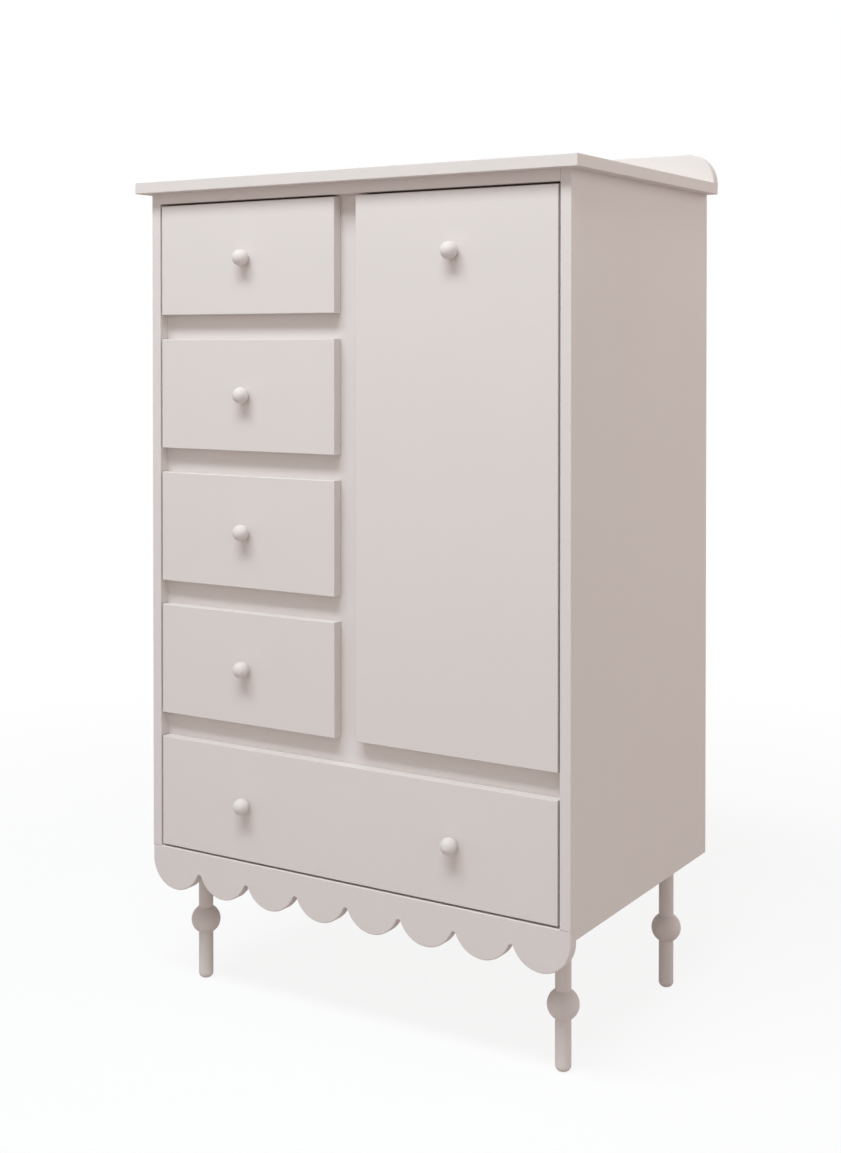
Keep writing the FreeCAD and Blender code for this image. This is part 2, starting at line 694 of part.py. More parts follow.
def plate_screw_seats():
    rises = (-PLATE_SCREW_SPACING / 2, PLATE_SCREW_SPACING / 2)
    return [point(ARM_FACE, PLATE_MIDDLE, level + rise) for level in hinge_levels() for rise in rises]


def door_panel():
    """Door with the bores for the hinge cups in its rear face."""
    panel = board((FRONT_INNER, FRONT_OUTER), (0, DOOR_BACK), door_span())
    panel = eased(panel, edges_on(panel, Y=0))
    bore_floor = DOOR_BACK - CUP_DEPTH
    cutters = [screw_hole(SCREW_DIAMETER, door_knob_point(), Y_AXIS, DOOR_BACK)]
    for level in hinge_levels():
        bore_start = point(CUP_CENTRE_X, bore_floor, level)
        cutters.append(rod(CUP_RADIUS + CUP_CLEARANCE, bore_start, Y_AXIS, CUP_DEPTH))
    depth = HINGE_SCREW_LENGTH - CUP_EAR_THICKNESS
    for seat in cup_screw_seats():
        entry = point(seat.x, DOOR_BACK, seat.z)
        cutters.append(screw_hole(HINGE_SCREW_DIAMETER, entry, -Y_AXIS, depth))
    return panel.cut(cutters)


def hinge_cup(level):
    """Steel cup with two ears, two lugs inside it and the pin that the lugs hold."""
    floor = point(CUP_CENTRE_X, DOOR_BACK - CUP_DEPTH, level)
    ear_span = around(level, 2 * (CUP_SCREW_RISE + CUP_EAR_MARGIN))
    ear_y = (DOOR_BACK, DOOR_BACK + CUP_EAR_THICKNESS)
    ears = board(around(CUP_CENTRE_X, CUP_EAR_WIDTH), ear_y, ear_span)
    hollow_depth = CUP_DEPTH - CUP_WALL + CUP_EAR_THICKNESS
    hollow = rod(CUP_RADIUS - CUP_WALL, floor + Y_AXIS * CUP_WALL, Y_AXIS, hollow_depth)
    cup = rod(CUP_RADIUS, floor, Y_AXIS, CUP_DEPTH).fuse(ears).cut(hollow)

    core = rod(CUP_RADIUS - CUP_WALL / 2, floor, Y_AXIS, CUP_DEPTH)
    lug_x = (CUP_PIN[0] - CUP_LUG_WIDTH / 2, CUP_CENTRE_X + CUP_RADIUS)
    lug_y = (floor.y, DOOR_BACK - CUP_LUG_DROP)
    lug_reach = LINK_SLOT_HALF + CUP_LUG_THICKNESS
    upper = board(lug_x, lug_y, (level + LINK_SLOT_HALF, level + lug_reach)).common(core)
    lower = board(lug_x, lug_y, (level - lug_reach, level - LINK_SLOT_HALF)).common(core)
    pin_span = (level - lug_reach, level + lug_reach)
    pin_hole = upright_rod(HINGE_PIN_DIAMETER / 2 + PIN_SEAT_CLEARANCE, CUP_PIN, pin_span)
    holes = [pin_hole]
    for seat in cup_screw_seats():
        holes.append(screw_hole(HINGE_SCREW_DIAMETER, seat, -Y_AXIS, CUP_EAR_THICKNESS))
    cup = joined([cup, upper, lower]).cut(holes)
    return [cup, upright_rod(HINGE_PIN_DIAMETER / 2, CUP_PIN, pin_span)]


def hinge_link(level):
    """Bent link from the pin in the cup to the pin of the arm."""
    z_span = around(level, LINK_WIDTH)
    eye = LINK_EYE_DIAMETER / 2
    pieces = [
        strap(CUP_PIN, LINK_BEND, LINK_THICKNESS, z_span),
        strap(LINK_BEND, ARM_PIN, LINK_THICKNESS, z_span),
        upright_rod(LINK_THICKNESS / 2, LINK_BEND, z_span),
        upright_rod(eye, CUP_PIN, z_span),
        upright_rod(eye, ARM_PIN, z_span),
    ]
    bore = HINGE_PIN_DIAMETER / 2 + PIN_RUNNING_CLEARANCE
    return joined(pieces).cut([upright_rod(bore, CUP_PIN, z_span), upright_rod(bore, ARM_PIN, z_span)])


def hinge_arm(level):
    """Arm on the mounting plate, forked at its tip around the link, with the fork's pin."""
    z_span = around(level, ARM_WIDTH)
    eye = ARM_EYE_DIAMETER / 2
    body_y = (ARM_ROOT[1], ARM_ROOT[1] + ARM_LENGTH)
    pieces = [
        board((ARM_FACE - ARM_DEPTH, ARM_FACE), body_y, z_span),
        strap(ARM_ROOT, ARM_PIN, ARM_EYE_DIAMETER, z_span),
        upright_rod(eye, ARM_ROOT, z_span),
        upright_rod(eye, ARM_PIN, z_span),
    ]
    run = math.hypot(ARM_PIN[0] - ARM_ROOT[0], ARM_PIN[1] - ARM_ROOT[1])
    step_x = (ARM_PIN[0] - ARM_ROOT[0]) / run
    step_y = (ARM_PIN[1] - ARM_ROOT[1]) / run
    slot_start = (ARM_PIN[0] - step_x * ARM_SLOT_DEPTH, ARM_PIN[1] - step_y * ARM_SLOT_DEPTH)
    slot_end = (ARM_PIN[0] + step_x * ARM_EYE_DIAMETER, ARM_PIN[1] + step_y * ARM_EYE_DIAMETER)
    slot = strap(slot_start, slot_end, 2 * ARM_EYE_DIAMETER, around(level, 2 * LINK_SLOT_HALF))
    pin_hole = upright_rod(HINGE_PIN_DIAMETER / 2 + PIN_SEAT_CLEARANCE, ARM_PIN, z_span)
    arm = joined(pieces).cut([slot, pin_hole])
    return [arm, upright_rod(HINGE_PIN_DIAMETER / 2, ARM_PIN, z_span)]


def hinge_plate(level):
    height = PLATE_SCREW_SPACING + 2 * PLATE_MARGIN
    plate = board((ARM_FACE, INNER_HALF), around(PLATE_MIDDLE, PLATE_LENGTH), around(level, height))
    holes = [screw_hole(HINGE_SCREW_DIAMETER, seat, X_AXIS, PLATE_THICKNESS) for seat in plate_screw_seats()]
    return plate.cut(holes)


# Named nodes of the assembly, each a list of separate solids

def carcass_nodes():
    left_bay = drawer_bay(1)
    nodes = {
        "left_side": [side_panel(-1)],
        "right_side": [right_side()],
        "bottom_panel": [bottom_panel()],
        "inner_top": [inner_top()],
        "back_panel": [back_panel()],
        "top_panel": [top_panel()],
        "gallery": [gallery()],
        "divider_left": [divider(-1)],
        "divider_right": [divider(1).cut(shelf_pin_holes(STILE_HALF, 1))],
        "front_stile": [front_stile()],
        "mid_panel": [mid_panel()],
        "mid_rail": [rail((-INNER_HALF, INNER_HALF), FRONT_ROWS - 1)],
        "apron": [apron()],
        "shelf_pins": shelf_pins(),
    }
    for row in range(1, FRONT_ROWS - 1):
        nodes["drawer_rail_" + str(row)] = [rail(left_bay, row)]
    for name, underside in zip(SHELF_NAMES, SHELF_UNDERSIDES):
        nodes[name] = [shelf(underside)]
    for name, place in leg_places().items():
        nodes[name] = [leg(place)]
    nodes["leg_plates"] = [leg_plate(place) for place in leg_places().values()]
    nodes["leg_bolts"] = [leg_bolt(place) for place in leg_places().values()]
    nodes["runner_strips"] = [strip for row in range(1, FRONT_ROWS + 1) for strip in runner_strips(row)]
    return nodes


def hinge_nodes():
    levels = hinge_levels()
    return {
        "hinge_cups": [piece for level in levels for piece in hinge_cup(level)],
        "hinge_cup_screws": [hinge_screw(seat, -Y_AXIS) for seat in cup_screw_seats()],
        "hinge_links": [hinge_link(level) for level in levels],
        "hinge_arms": [piece for level in levels for piece in hinge_arm(level)],
        "hinge_plates": [hinge_plate(level) for level in levels],
        "hinge_plate_screws": [hinge_screw(seat, X_AXIS) for seat in plate_screw_seats()],
    }


def door_nodes():
    place = door_knob_point()
    return {
        "door_panel": [door_panel()],
        "door_knob": [knob(place.x, place.z)],
        "door_knob_screw": [front_screw(DOOR_BACK + KNOB_SCREW_BITE, place + Y_AXIS * DOOR_BACK)],
    }


def drawer_nodes(row):
    prefix = "drawer_" + str(row) + "_"
    return {
        prefix + "front": [drawer_front(row)],
        prefix + "box": drawer_box(row),
        prefix + "bottom": [drawer_bottom(row)],
        prefix + "knobs": [knob(place.x, place.z) for place in knob_points(row)],
        prefix + "screws": drawer_screws(row),
    }


def save(name, shapes):
    """Write one node, moved so that the part's box stands centred over the origin."""
    solids = [solid for shape in shapes for solid in shape.Solids]
    node = solids[0] if len(solids) == 1 else Part.makeCompound(solids)
    node = node.translated(point(0, -Y_MIDDLE, 0))
    node.exportStep("parts/" + name + ".step")


os.makedirs("parts", exist_ok=True)
assembly = carcass_nodes()
assembly.update(hinge_nodes())
assembly.update(door_nodes())
for drawer_row in range(1, FRONT_ROWS + 1):
    assembly.update(drawer_nodes(drawer_row))
for node_name, node_shapes in assembly.items():
    save(node_name, node_shapes)
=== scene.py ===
"""Looks of the tall dresser: finishes, screws and pins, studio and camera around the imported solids."""

import json
import logging
import math
from abc import ABC, abstractmethod
from collections.abc import Iterable
from dataclasses import dataclass
from enum import Enum
from typing import Any

import bmesh
import bpy
from mathutils import Euler, Matrix, Vector

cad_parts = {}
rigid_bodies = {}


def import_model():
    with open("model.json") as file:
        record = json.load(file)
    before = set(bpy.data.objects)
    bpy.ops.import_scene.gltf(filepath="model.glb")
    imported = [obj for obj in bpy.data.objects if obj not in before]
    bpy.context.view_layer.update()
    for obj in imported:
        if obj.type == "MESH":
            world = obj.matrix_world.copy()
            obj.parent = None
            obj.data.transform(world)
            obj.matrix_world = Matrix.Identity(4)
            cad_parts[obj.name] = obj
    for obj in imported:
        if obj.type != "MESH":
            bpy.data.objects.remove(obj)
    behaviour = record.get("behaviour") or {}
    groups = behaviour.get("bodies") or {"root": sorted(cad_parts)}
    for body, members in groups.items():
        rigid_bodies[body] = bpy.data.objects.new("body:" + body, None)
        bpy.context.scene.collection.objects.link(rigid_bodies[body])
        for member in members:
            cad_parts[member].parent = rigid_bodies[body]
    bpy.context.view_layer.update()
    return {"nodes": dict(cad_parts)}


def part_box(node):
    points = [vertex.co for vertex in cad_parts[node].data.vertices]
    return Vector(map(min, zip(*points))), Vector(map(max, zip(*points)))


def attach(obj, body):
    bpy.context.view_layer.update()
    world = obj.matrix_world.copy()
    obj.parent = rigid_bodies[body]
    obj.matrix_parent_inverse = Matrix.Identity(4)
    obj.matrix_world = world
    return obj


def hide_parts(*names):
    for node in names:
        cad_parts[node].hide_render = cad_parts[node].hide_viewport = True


# The start-up scene's own objects go first, so that only the part is left.
for leftover in list(bpy.data.objects):
    bpy.data.objects.remove(leftover)
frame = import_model()

LOG = logging.getLogger("dresser")
MM = 0.001
FORWARD = Vector((0, -1, 0))
RIGHT = Vector((1, 0, 0))
UP = Vector((0, 0, 1))
# The drawers are numbered from the top, and the last is the wide one.
DRAWER_ROWS = range(1, 6)
# Points of a solid that lie nearer than this are one point.
SAME_POINT = 0.01 * MM
# Faces of a fixing that meet at a larger angle keep a sharp edge.
SHARP_ANGLE = math.radians(32)
# One period of the band wave is this many units at a scale of 1.
WAVE_PERIOD = 2 * math.pi / 20
# The Mix node repeats its socket names for each kind of data, so its sockets go by number.
MIX_FACTOR = 0
MIX_FLOAT_A, MIX_FLOAT_B, MIX_FLOAT = 2, 3, 0
MIX_VECTOR_A, MIX_VECTOR_B, MIX_VECTOR = 4, 5, 1
MIX_COLOUR_A, MIX_COLOUR_B, MIX_COLOUR = 6, 7, 2

# The points of one closed ring, in order.
Ring = list[bmesh.types.BMVert]


def linear(hex_colour: str) -> tuple[float, float, float, float]:
    """Turn an sRGB hex colour into linear light.

    Args:
        hex_colour: The colour as "#RRGGBB".

    Returns:
        Red, green, blue and an alpha of 1.
    """
    channels = [int(hex_colour[start:start + 2], 16) / 255 for start in (1, 3, 5)]
    red, green, blue = (c / 12.92 if c <= 0.04045 else ((c + 0.055) / 1.055) ** 2.4 for c in channels)
    return (red, green, blue, 1.0)


def add_node(
    tree: bpy.types.NodeTree,
    kind: str,
    settings: dict[str, Any] | None = None,
    values: dict[str | int, Any] | None = None,
    links: dict[str | int, bpy.types.NodeSocket] | None = None,
) -> bpy.types.Node:
    """Add one node with its settings, socket values and incoming links.

    Args:
        tree: The tree that takes the node.
        kind: The node's type name.
        settings: Properties of the node itself.
        values: Constants for its input sockets, by socket name or number.
        links: Output sockets of other nodes for its input sockets.

    Returns:
        The new node.
    """
    node = tree.nodes.new(kind)
    for name, value in (settings or {}).items():
        setattr(node, name, value)
    for socket, value in (values or {}).items():
        node.inputs[socket].default_value = value
    for socket, source in (links or {}).items():
        tree.links.new(source, node.inputs[socket])
    return node


def seen_directly(tree: bpy.types.NodeTree) -> bpy.types.NodeSocket:
    """Tell rays that show a surface to the eye from those that only carry bounced light.

    Args:
        tree: The tree that takes the nodes.

    Returns:
        A socket that is 1 for camera, mirrored and refracted rays.
    """
    rays = add_node(tree, "ShaderNodeLightPath").outputs
    seen = rays["Is Camera Ray"]
    for kind in ("Is Glossy Ray", "Is Transmission Ray"):
        either = add_node(tree, "ShaderNodeMath", {"operation": "MAXIMUM"}, links={0: seen, 1: rays[kind]})
        seen = either.outputs[0]
    return seen


class Substrate(Enum):
    """What a paint film lies on; the value is the axis that a turned piece was turned about."""

    BOARD = "none"
    TURNED_UPRIGHT = "Z"
    TURNED_FORWARD = "Y"


class Lay(Enum):
    """How plywood lies in a drawer."""

    BOX = "four boards on edge"
    SHEET = "one flat panel"


@dataclass(frozen=True)
class Finish(ABC):
    """A surface finish that gives one material."""

    name: str

    def material(self) -> bpy.types.Material:
        """Find the finish's material, or make it on first use.

        Returns:
            The material, which all surfaces with this finish share.
        """
        known = bpy.data.materials.get(self.name)
        if known is not None:
            return known
        made = bpy.data.materials.new(self.name)
        made.use_nodes = True
        made.node_tree.nodes.clear()
        shader = self.lay_out(made.node_tree)
        add_node(made.node_tree, "ShaderNodeOutputMaterial", links={"Surface": shader.outputs[0]})
        return made

    @abstractmethod
    def lay_out(self, tree: bpy.types.NodeTree) -> bpy.types.Node:
        """Fill the material's node tree.

        Args:
            tree: The material's node tree.

        Returns:
            The shader that the surface shows.
        """


@dataclass(frozen=True)
class SatinPaint(Finish):
    """Sprayed satin furniture paint on smooth board or turned beech.

    The eye sees an even warm greige with hardly any highlight, a barely uneven film and, on turned
    pieces, a trace of the tool's rings.
    """

    substrate: Substrate = Substrate.BOARD
    colour: str = "#DDD4CF"
    tone_spread: float = 0.012
    pass_mm: float = 170.0
    # The noise of the passes hardly leaves this range.
    pass_range: tuple[float, float] = (0.3, 0.7)
    # Satin paint is usually at 0.4 to 0.5; this film is duller, because the knobs show no bright spot.
    roughness: float = 0.65
    roughness_spread: float = 0.05
    ior: float = 1.5
    # Orange peel is about 1.5 mm wide; it is drawn at 5 mm, because finer waves don't show here.
    peel_mm: float = 5.0
    peel_height_mm: float = 0.02
    # Tool rings are about 0.6 mm apart; they are drawn at 2.5 mm, because finer ones don't show here.
    ring_mm: float = 2.5
    ring_height_mm: float = 0.008

    def lay_out(self, tree: bpy.types.NodeTree) -> bpy.types.Node:
        """Mix the film's tone, gloss and waviness.

        Args:
            tree: The material's node tree.

        Returns:
            The shader of the film.
        """
        place = add_node(tree, "ShaderNodeTexCoord").outputs["Object"]
        passes = add_node(
            tree,
            "ShaderNodeTexNoise",
            values={"Scale": 1 / (self.pass_mm * MM), "Detail": 1.0},
            links={"Vector": place},
        ).outputs["Fac"]
        red, green, blue, alpha = linear(self.colour)
        thin, full = (
            (red * coverage, green * coverage, blue * coverage, alpha)
            for coverage in (1 - self.tone_spread, 1 + self.tone_spread)
        )
        tone = add_node(
            tree,
            "ShaderNodeMix",
            {"data_type": "RGBA"},
            {MIX_COLOUR_A: thin, MIX_COLOUR_B: full},
            {MIX_FACTOR: passes},
        )
        gloss = add_node(
            tree,
            "ShaderNodeMapRange",
            values={
                "From Min": self.pass_range[0],
                "From Max": self.pass_range[1],
                "To Min": self.roughness - self.roughness_spread,
                "To Max": self.roughness + self.roughness_spread,
            },
            links={"Value": passes},
        )
        return add_node(
            tree,
            "ShaderNodeBsdfPrincipled",
            values={"IOR": self.ior},
            links={
                "Base Color": tone.outputs[MIX_COLOUR],
                "Roughness": gloss.outputs["Result"],
                "Normal": self.relief(tree, place),
            },
        )

    def relief(self, tree: bpy.types.NodeTree, place: bpy.types.NodeSocket) -> bpy.types.NodeSocket:
        """Add the film's orange peel and, on a turned piece, the tool's rings.

        Args:
            tree: The material's node tree.
            place: Where a point lies on the piece.

        Returns:
            The normal of the wavy film.
        """
        peel = add_node(
            tree,
            "ShaderNodeTexNoise",
            values={"Scale": 1 / (self.peel_mm * MM), "Detail": 2.0, "Roughness": 0.45},
            links={"Vector": place},
        )
        film = add_node(
            tree,
            "ShaderNodeBump",
            values={"Distance": self.peel_height_mm * MM},
            links={"Height": peel.outputs["Fac"]},
        )
        if self.substrate is Substrate.BOARD:
            return film.outputs["Normal"]
        rings = add_node(
            tree,
            "ShaderNodeTexWave",
            {"wave_type": "BANDS", "bands_direction": self.substrate.value},
            {"Scale": WAVE_PERIOD / (self.ring_mm * MM), "Distortion": 0.4, "Detail": 1.0},
            {"Vector": place},
        )
        turned = add_node(
            tree,
            "ShaderNodeBump",
            values={"Distance": self.ring_height_mm * MM},
            links={"Height": rings.outputs["Fac"], "Normal": film.outputs["Normal"]},
        )
        return turned.outputs["Normal"]


@dataclass(frozen=True)
class RolledPaint(SatinPaint):
    """Matt paint rolled on a hardboard panel before it was cut.

    The eye sees the same greige a shade darker, without sheen and with the roller's fine pebble.
    """

    colour: str = "#D6CCC6"
    tone_spread: float = 0.02
    pass_mm: float = 230.0
    roughness: float = 0.85
    # The pebble is about 1 mm wide; it is drawn at 4 mm, because finer pebble doesn't show here.
    peel_mm: float = 4.0
    peel_height_mm: float = 0.05


@dataclass(frozen=True)
class BirchPlywood(Finish):
    """Birch plywood under clear matt lacquer.

    The eye sees pale honey veneer with long soft grain on the faces, and light and dark plies on the
    edges.
    """

    lay: Lay = Lay.SHEET
    # Where the middle of a box is across the part, and how far from it the side boards begin; in metres.
    middle_x: float = 0.0
    inner_half: float = 0.0
    veneer_light: str = "#E6CFA9"
    veneer_dark: str = "#D0B184"
    ply_light: str = "#DDC297"
    ply_dark: str = "#A98458"
    grain_mm: float = 5.0
    grain_stretch: float = 22.0
    # Grain noise under this range is all light veneer, and over it all dark.
    figure_range: tuple[float, float] = (0.35, 0.68)
    pore_height_mm: float = 0.03
    # Plies are 1.4 mm thick; they are drawn at 2.8 mm, because thinner ones don't show here.
    ply_mm: float = 2.8
    # A face that looks less than this along the board's thickness is an edge.
    least_squareness: float = 0.5
    roughness: float = 0.52
    roughness_spread: float = 0.06
    ior: float = 1.5

    def lay_out(self, tree: bpy.types.NodeTree) -> bpy.types.Node:
        """Run the grain along each board and show the plies on its edges.

        Args:
            tree: The material's node tree.

        Returns:
            The shader of the lacquered board.
        """
        grain_place, depth, slant = self.run_of_boards(tree)
        grain = add_node(
            tree,
            "ShaderNodeTexNoise",
            values={"Scale": 1.0, "Detail": 5.0, "Roughness": 0.6, "Distortion": 0.6},
            links={"Vector": grain_place},
        ).outputs["Fac"]
        squareness = add_node(tree, "ShaderNodeMath", {"operation": "ABSOLUTE"}, links={0: slant})
        is_edge = add_node(
            tree,
            "ShaderNodeMath",
            {"operation": "LESS_THAN"},
            {1: self.least_squareness},
            {0: squareness.outputs[0]},
        )
        tone = add_node(
            tree,
            "ShaderNodeMix",
            {"data_type": "RGBA"},
            links={
                MIX_FACTOR: is_edge.outputs[0],
                MIX_COLOUR_A: self.veneer(tree, grain),
                MIX_COLOUR_B: self.plies(tree, depth),
            },
        )
        pores = add_node(
            tree,
            "ShaderNodeBump",
            values={"Distance": self.pore_height_mm * MM},
            links={"Height": grain},
        )
        gloss = add_node(
            tree,
            "ShaderNodeMapRange",
            values={
                "To Min": self.roughness - self.roughness_spread,
                "To Max": self.roughness + self.roughness_spread,
            },
            links={"Value": grain},
        )
        return add_node(
            tree,
            "ShaderNodeBsdfPrincipled",
            values={"IOR": self.ior},
            links={
                "Base Color": tone.outputs[MIX_COLOUR],
                "Roughness": gloss.outputs["Result"],
                "Normal": pores.outputs["Normal"],
            },
        )

    def run_of_boards(self, tree: bpy.types.NodeTree) -> tuple[bpy.types.NodeSocket, ...]:
        """Find which way the grain and the thickness of each board run.

        Args:
            tree: The material's node tree.

        Returns:
            The place in widths of the grain, the place along the board's thickness, and how far the
            face looks along that thickness.
        """
        place = add_node(tree, "ShaderNodeTexCoord").outputs["Object"]
        facing = add_node(tree, "ShaderNodeNewGeometry").outputs["Normal"]
        axes = add_node(tree, "ShaderNodeSeparateXYZ", links={"Vector": place}).outputs
        slants = add_node(tree, "ShaderNodeSeparateXYZ", links={"Vector": facing}).outputs
        across = 1 / (self.grain_mm * MM)
        along = across / self.grain_stretch
        left_to_right = (along, across, across)
        front_to_back = (across, along, across)
        if self.lay is Lay.SHEET:
            grain_place = add_node(
                tree, "ShaderNodeVectorMath", {"operation": "MULTIPLY"}, {1: left_to_right}, {0: place}
            )
            return grain_place.outputs[0], axes["Z"], slants["Z"]
        off_middle = add_node(
            tree, "ShaderNodeMath", {"operation": "SUBTRACT"}, {1: self.middle_x}, {0: axes["X"]}
        )
        reach = add_node(
            tree, "ShaderNodeMath", {"operation": "ABSOLUTE"}, links={0: off_middle.outputs[0]}
        )
        is_side = add_node(
            tree,
            "ShaderNodeMath",
            {"operation": "GREATER_THAN"},
            {1: self.inner_half},
            {0: reach.outputs[0]},
        ).outputs[0]
        stretch = add_node(
            tree,
            "ShaderNodeMix",
            {"data_type": "VECTOR"},
            {MIX_VECTOR_A: left_to_right, MIX_VECTOR_B: front_to_back},
            {MIX_FACTOR: is_side},
        ).outputs[MIX_VECTOR]
        grain_place = add_node(
            tree, "ShaderNodeVectorMath", {"operation": "MULTIPLY"}, links={0: place, 1: stretch}
        )
        depth, slant = (
            add_node(
                tree,
                "ShaderNodeMix",
                links={MIX_FACTOR: is_side, MIX_FLOAT_A: parts["Y"], MIX_FLOAT_B: parts["X"]},
            ).outputs[MIX_FLOAT]
            for parts in (axes, slants)
        )
        return grain_place.outputs[0], depth, slant

    def veneer(self, tree: bpy.types.NodeTree, grain: bpy.types.NodeSocket) -> bpy.types.NodeSocket:
        """Colour the faces by their grain.

        Args:
            tree: The material's node tree.
            grain: The noise of the grain.

        Returns:
            The colour of the veneer.
        """
        figure = add_node(
            tree,
            "ShaderNodeMapRange",
            values={"From Min": self.figure_range[0], "From Max": self.figure_range[1]},
            links={"Value": grain},
        )
        tone = add_node(
            tree,
            "ShaderNodeMix",
            {"data_type": "RGBA"},
            {MIX_COLOUR_A: linear(self.veneer_light), MIX_COLOUR_B: linear(self.veneer_dark)},
            {MIX_FACTOR: figure.outputs["Result"]},
        )
        return tone.outputs[MIX_COLOUR]

    def plies(self, tree: bpy.types.NodeTree, depth: bpy.types.NodeSocket) -> bpy.types.NodeSocket:
        """Colour the edges by light and dark plies in turn.

        Args:
            tree: The material's node tree.
            depth: The place along the board's thickness.

        Returns:
            The colour of the plies.
        """
        ply = self.ply_mm * MM
        beat = add_node(tree, "ShaderNodeMath", {"operation": "PINGPONG"}, {1: ply}, {0: depth})
        is_dark = add_node(
            tree, "ShaderNodeMath", {"operation": "GREATER_THAN"}, {1: ply / 2}, {0: beat.outputs[0]}
        )
        tone = add_node(
            tree,
            "ShaderNodeMix",
            {"data_type": "RGBA"},
            {MIX_COLOUR_A: linear(self.ply_light), MIX_COLOUR_B: linear(self.ply_dark)},
            {MIX_FACTOR: is_dark.outputs[0]},
        )
        return tone.outputs[MIX_COLOUR]


@dataclass(frozen=True)
class WaxedBeech(Finish):
    """Planed beech rubbed with wax.

    The eye sees an even pinkish tan with short dark flecks along the grain and a low sheen.
    """

    light: str = "#D2A97E"
    dark: str = "#B98B61"
    fleck: str = "#8A5F3F"
    grain_mm: float = 3.5
    grain_stretch: float = 30.0
    # Ray flecks are 0.3 mm wide and 2 mm long; they are drawn five times larger to show here.
    fleck_mm: float = 1.6
    fleck_stretch: float = 6.0
    # A fleck takes up this share of the width that it has to itself.
    fleck_fill: float = 0.6
    # A fleck fades out between these distances from its middle, as shares of that width.
    fleck_fade: tuple[float, float] = (0.16, 0.28)
    fleck_strength: float = 0.55
    roughness: float = 0.42
    roughness_spread: float = 0.08
    ior: float = 1.5

    def lay_out(self, tree: bpy.types.NodeTree) -> bpy.types.Node:
        """Run grain and flecks along the strips, which lie front to back.

        Args:
            tree: The material's node tree.

        Returns:
            The shader of the waxed wood.
        """
        place = add_node(tree, "ShaderNodeTexCoord").outputs["Object"]
        fine = 1 / (self.grain_mm * MM)
        grain_place = add_node(
            tree,
            "ShaderNodeVectorMath",
            {"operation": "MULTIPLY"},
            {1: (fine, fine / self.grain_stretch, fine)},
            {0: place},
        )
        grain = add_node(
            tree,
            "ShaderNodeTexNoise",
            values={"Scale": 1.0, "Detail": 4.0, "Roughness": 0.55},
            links={"Vector": grain_place.outputs[0]},
        ).outputs["Fac"]
        wood = add_node(
            tree,
            "ShaderNodeMix",
            {"data_type": "RGBA"},
            {MIX_COLOUR_A: linear(self.light), MIX_COLOUR_B: linear(self.dark)},
            {MIX_FACTOR: grain},
        )
        tone = add_node(
            tree,
            "ShaderNodeMix",
            {"data_type": "RGBA"},
            {MIX_COLOUR_B: linear(self.fleck)},
            {MIX_FACTOR: self.flecks(tree, place), MIX_COLOUR_A: wood.outputs[MIX_COLOUR]},
        )
        gloss = add_node(
            tree,
            "ShaderNodeMapRange",
            values={
                "To Min": self.roughness - self.roughness_spread,
                "To Max": self.roughness + self.roughness_spread,
            },
            links={"Value": grain},
        )
        return add_node(
            tree,
            "ShaderNodeBsdfPrincipled",
            values={"IOR": self.ior},
            links={"Base Color": tone.outputs[MIX_COLOUR], "Roughness": gloss.outputs["Result"]},
        )

    def flecks(self, tree: bpy.types.NodeTree, place: bpy.types.NodeSocket) -> bpy.types.NodeSocket:
        """Scatter the ray flecks.

        Args:
            tree: The material's node tree.
            place: Where a point lies on the strips.

        Returns:
            How much of the fleck's colour shows.
        """
        speck = 1 / (self.fleck_mm * MM)
        fleck_place = add_node(
            tree,
            "ShaderNodeVectorMath",
            {"operation": "MULTIPLY"},
            {1: (speck, speck / self.fleck_stretch, speck)},
            {0: place},
        )
        cells = add_node(
            tree,
            "ShaderNodeTexVoronoi",
            values={"Scale": self.fleck_fill},
            links={"Vector": fleck_place.outputs[0]},
        )
        shown = add_node(
            tree,
            "ShaderNodeMapRange",
            values={
                "From Min": self.fleck_fade[0],
                "From Max": self.fleck_fade[1],
                "To Min": self.fleck_strength,
                "To Max": 0.0,
            },
            links={"Value": cells.outputs["Distance"]},
        )
        return shown.outputs["Result"]


